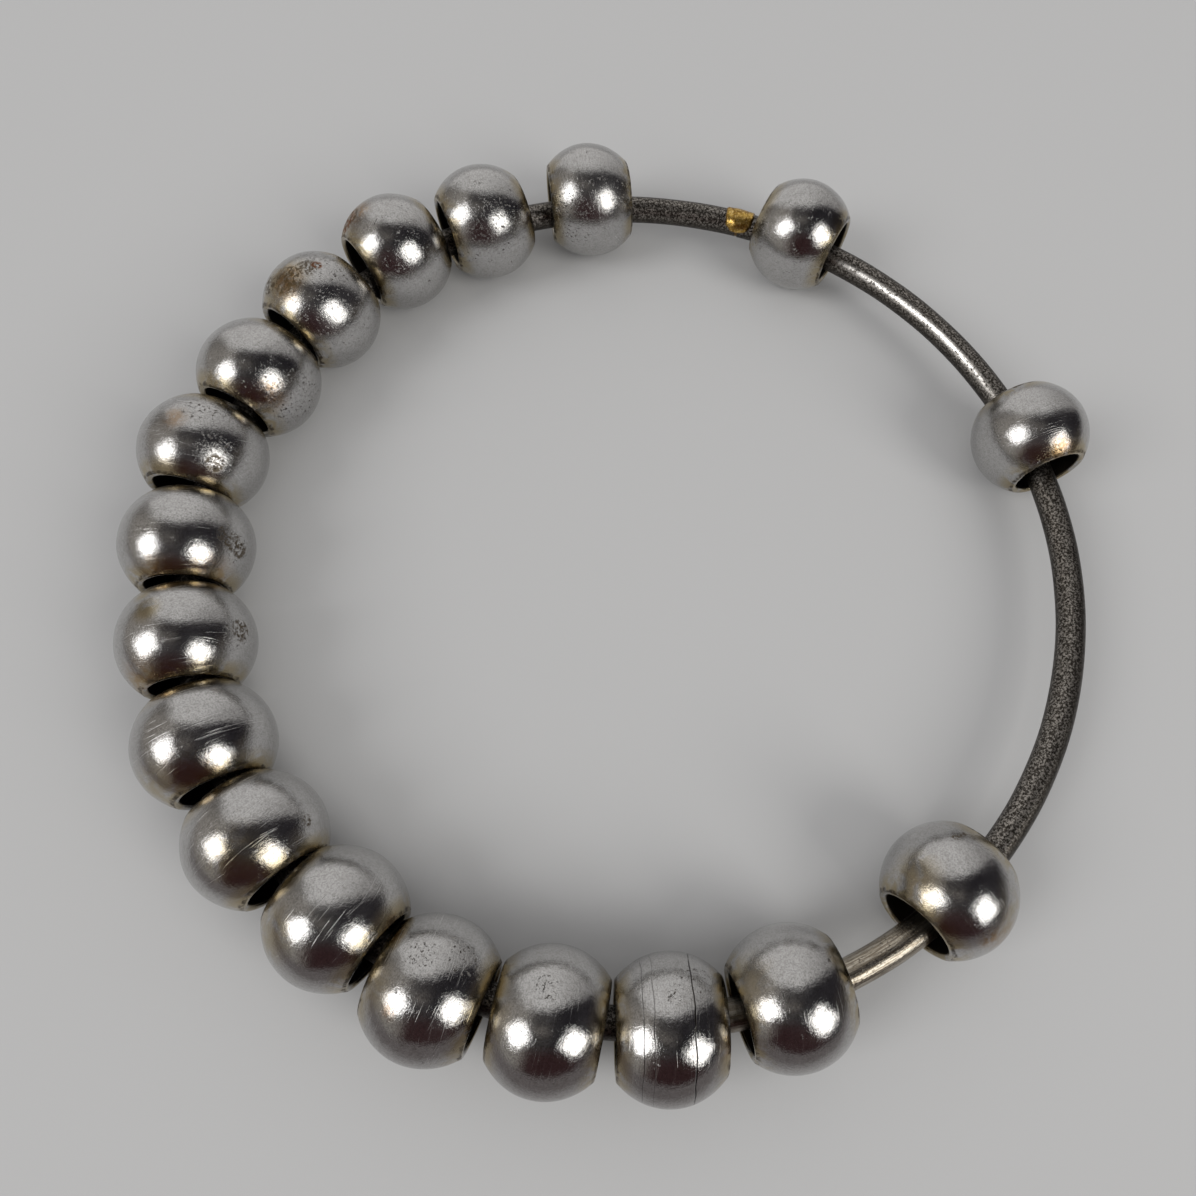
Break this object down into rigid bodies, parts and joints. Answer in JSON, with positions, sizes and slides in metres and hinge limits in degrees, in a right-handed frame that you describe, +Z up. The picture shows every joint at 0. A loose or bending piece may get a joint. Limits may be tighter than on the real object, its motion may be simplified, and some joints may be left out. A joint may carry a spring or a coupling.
{
  "type": "ring of loose steel beads",
  "caption": "Closed hoop of round steel wire, joined with a spot of brass, threaded with loose large-bore steel beads that slide round it.",
  "frame": {"origin": "centre of the hoop, on the plane that the beads rest on", "axes": "+Z is up, along the hoop's axis; +X and +Y lie in the hoop's plane, with the brazed joint near +Y"},
  "size_m": [0.1024, 0.1048, 0.0127],
  "materials": {
    "bead_steel": "worn polished steel with fine scratches, small pits and faint yellow-brown tarnish at the bores",
    "wire_steel": "dark mottled satin, rubbed bright where beads slide",
    "braze_brass": "filed brass, slightly rough"
  },
  "bodies": {
    "ring": {"wire_ring": "wire_steel", "braze_joint": "braze_brass"},
    "bead_01": {"bead_01": "bead_steel"},
    "bead_02": {"bead_02": "bead_steel"},
    "bead_03": {"bead_03": "bead_steel"},
    "bead_04": {"bead_04": "bead_steel"},
    "bead_05": {"bead_05": "bead_steel"},
    "bead_06": {"bead_06": "bead_steel"},
    "bead_07": {"bead_07": "bead_steel"},
    "bead_08": {"bead_08": "bead_steel"},
    "bead_09": {"bead_09": "bead_steel"},
    "bead_10": {"bead_10": "bead_steel"},
    "bead_11": {"bead_11": "bead_steel"},
    "bead_12": {"bead_12": "bead_steel"},
    "bead_13": {"bead_13": "bead_steel"},
    "bead_14": {"bead_14": "bead_steel"},
    "bead_15": {"bead_15": "bead_steel"},
    "bead_16": {"bead_16": "bead_steel"},
    "bead_17": {"bead_17": "bead_steel"},
    "bead_18": {"bead_18": "bead_steel"}
  },
  "joints": [
    {"name": "bead_01_travel", "type": "hinge", "parent": "ring", "child": "bead_01", "pos_m": [0, 0, 0], "axis": [0, 0, -1], "continuous": true},
    {"name": "bead_02_travel", "type": "hinge", "parent": "bead_01", "child": "bead_02", "pos_m": [0, 0, 0], "axis": [0, 0, -1], "range_deg": [-9.5, 3.3]},
    {"name": "bead_03_travel", "type": "hinge", "parent": "bead_02", "child": "bead_03", "pos_m": [0, 0, 0], "axis": [0, 0, -1], "range_deg": [-0.9, 3.3]},
    {"name": "bead_04_travel", "type": "hinge", "parent": "bead_03", "child": "bead_04", "pos_m": [0, 0, 0], "axis": [0, 0, -1], "range_deg": [0, 3.3]},
    {"name": "bead_05_travel", "type": "hinge", "parent": "bead_04", "child": "bead_05", "pos_m": [0, 0, 0], "axis": [0, 0, -1], "range_deg": [-0.3, 3.3]},
    {"name": "bead_06_travel", "type": "hinge", "parent": "bead_05", "child": "bead_06", "pos_m": [0, 0, 0], "axis": [0, 0, -1], "range_deg": [-0.7, 3.3]},
    {"name": "bead_07_travel", "type": "hinge", "parent": "bead_06", "child": "bead_07", "pos_m": [0, 0, 0], "axis": [0, 0, -1], "range_deg": [0, 3.3]},
    {"name": "bead_08_travel", "type": "hinge", "parent": "bead_07", "child": "bead_08", "pos_m": [0, 0, 0], "axis": [0, 0, -1], "range_deg": [0, 3.3]},
    {"name": "bead_09_travel", "type": "hinge", "parent": "bead_08", "child": "bead_09", "pos_m": [0, 0, 0], "axis": [0, 0, -1], "range_deg": [0, 3.3]},
    {"name": "bead_10_travel", "type": "hinge", "parent": "bead_09", "child": "bead_10", "pos_m": [0, 0, 0], "axis": [0, 0, -1], "range_deg": [-0.3, 3.3]},
    {"name": "bead_11_travel", "type": "hinge", "parent": "bead_10", "child": "bead_11", "pos_m": [0, 0, 0], "axis": [0, 0, -1], "range_deg": [-0.2, 3.3]},
    {"name": "bead_12_travel", "type": "hinge", "parent": "bead_11", "child": "bead_12", "pos_m": [0, 0, 0], "axis": [0, 0, -1], "range_deg": [-0.8, 3.3]},
    {"name": "bead_13_travel", "type": "hinge", "parent": "bead_12", "child": "bead_13", "pos_m": [0, 0, 0], "axis": [0, 0, -1], "range_deg": [-0.4, 3.3]},
    {"name": "bead_14_travel", "type": "hinge", "parent": "bead_13", "child": "bead_14", "pos_m": [0, 0, 0], "axis": [0, 0, -1], "range_deg": [-1.7, 3.3]},
    {"name": "bead_15_travel", "type": "hinge", "parent": "bead_14", "child": "bead_15", "pos_m": [0, 0, 0], "axis": [0, 0, -1], "range_deg": [-1.2, 3.3]},
    {"name": "bead_16_travel", "type": "hinge", "parent": "bead_15", "child": "bead_16", "pos_m": [0, 0, 0], "axis": [0, 0, -1], "range_deg": [-3.3, 3.3]},
    {"name": "bead_17_travel", "type": "hinge", "parent": "bead_16", "child": "bead_17", "pos_m": [0, 0, 0], "axis": [0, 0, -1], "range_deg": [-19.3, 3.3]},
    {"name": "bead_18_travel", "type": "hinge", "parent": "bead_17", "child": "bead_18", "pos_m": [0, 0, 0], "axis": [0, 0, -1], "range_deg": [-35, 3.3]}
  ]
}
